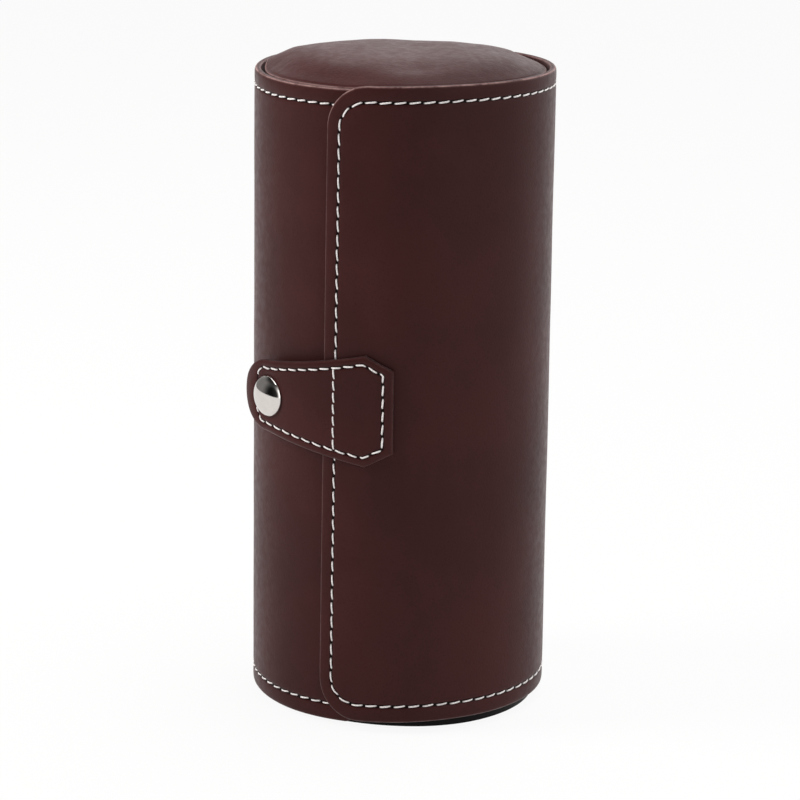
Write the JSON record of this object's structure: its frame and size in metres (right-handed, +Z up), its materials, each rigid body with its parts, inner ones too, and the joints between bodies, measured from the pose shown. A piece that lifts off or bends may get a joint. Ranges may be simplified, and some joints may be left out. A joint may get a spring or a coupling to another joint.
{
  "type": "watch travel case",
  "caption": "Round leather travel case for wrist watches, with a hinged curved flap, a snap tab, padded ends, dividers and removable pillows.",
  "frame": {"origin": "on the tray's axis, in the plane of the floor that the lower padded end stands on", "axes": "+Z up along the tray's axis; -Y is the front, where the flap's free edge is; the flap covers the +X side"},
  "size_m": [0.0892, 0.0926, 0.1967],
  "materials": {
    "hide": "satin",
    "foot_leather": "matte",
    "suede": "matte",
    "board": "matte",
    "foam": "matte",
    "nickel": "polished",
    "spring_wire": "satin"
  },
  "bodies": {
    "case": {"tray_cover": "hide", "tray_board": "board", "tray_lining": "suede", "top_disc": "board", "top_disc_facing": "suede", "top_pad_foam": "foam", "top_pad_cover": "hide", "bottom_disc": "board", "bottom_disc_facing": "suede", "bottom_pad_foam": "foam", "bottom_pad_cover": "foot_leather", "lower_divider_board": "board", "lower_divider_sleeve": "suede", "upper_divider_board": "board", "upper_divider_sleeve": "suede", "snap_stud": "nickel", "snap_post": "nickel"},
    "flap": {"flap_cover": "hide", "flap_board": "board", "flap_lining": "suede", "tab_root_face": "hide", "tab_root_back": "hide"},
    "tab": {"tab_tongue_face": "hide", "tab_tongue_back": "hide", "snap_cap": "nickel", "snap_socket": "nickel", "snap_spring": "spring_wire"},
    "lower_pillow": {"lower_pillow_cover": "suede", "lower_pillow_core": "foam", "lower_pillow_patch": "suede"},
    "middle_pillow": {"middle_pillow_cover": "suede", "middle_pillow_core": "foam", "middle_pillow_patch": "suede"},
    "upper_pillow": {"upper_pillow_cover": "suede", "upper_pillow_core": "foam", "upper_pillow_patch": "suede"}
  },
  "joints": [
    {"name": "flap_hinge", "type": "hinge", "parent": "case", "child": "flap", "pos_m": [0.00463, 0.04406, 0.0977], "axis": [0, 0, 1], "range_deg": [0, 160]},
    {"name": "tab_fold", "type": "hinge", "parent": "flap", "child": "tab", "pos_m": [-0.00029, -0.04891, 0.0978], "axis": [0, 0, 1], "range_deg": [0, 80]},
    {"name": "lower_pillow_slide", "type": "slide", "parent": "case", "child": "lower_pillow", "axis": [1, 0, 0], "range_m": [0, 0.024]},
    {"name": "middle_pillow_slide", "type": "slide", "parent": "case", "child": "middle_pillow", "axis": [1, 0, 0], "range_m": [0, 0.024]},
    {"name": "upper_pillow_slide", "type": "slide", "parent": "case", "child": "upper_pillow", "axis": [1, 0, 0], "range_m": [0, 0.024]}
  ],
  "couplings": [
    {"joint": "tab_fold", "follows": "flap_hinge", "ratio": 0.5}
  ]
}
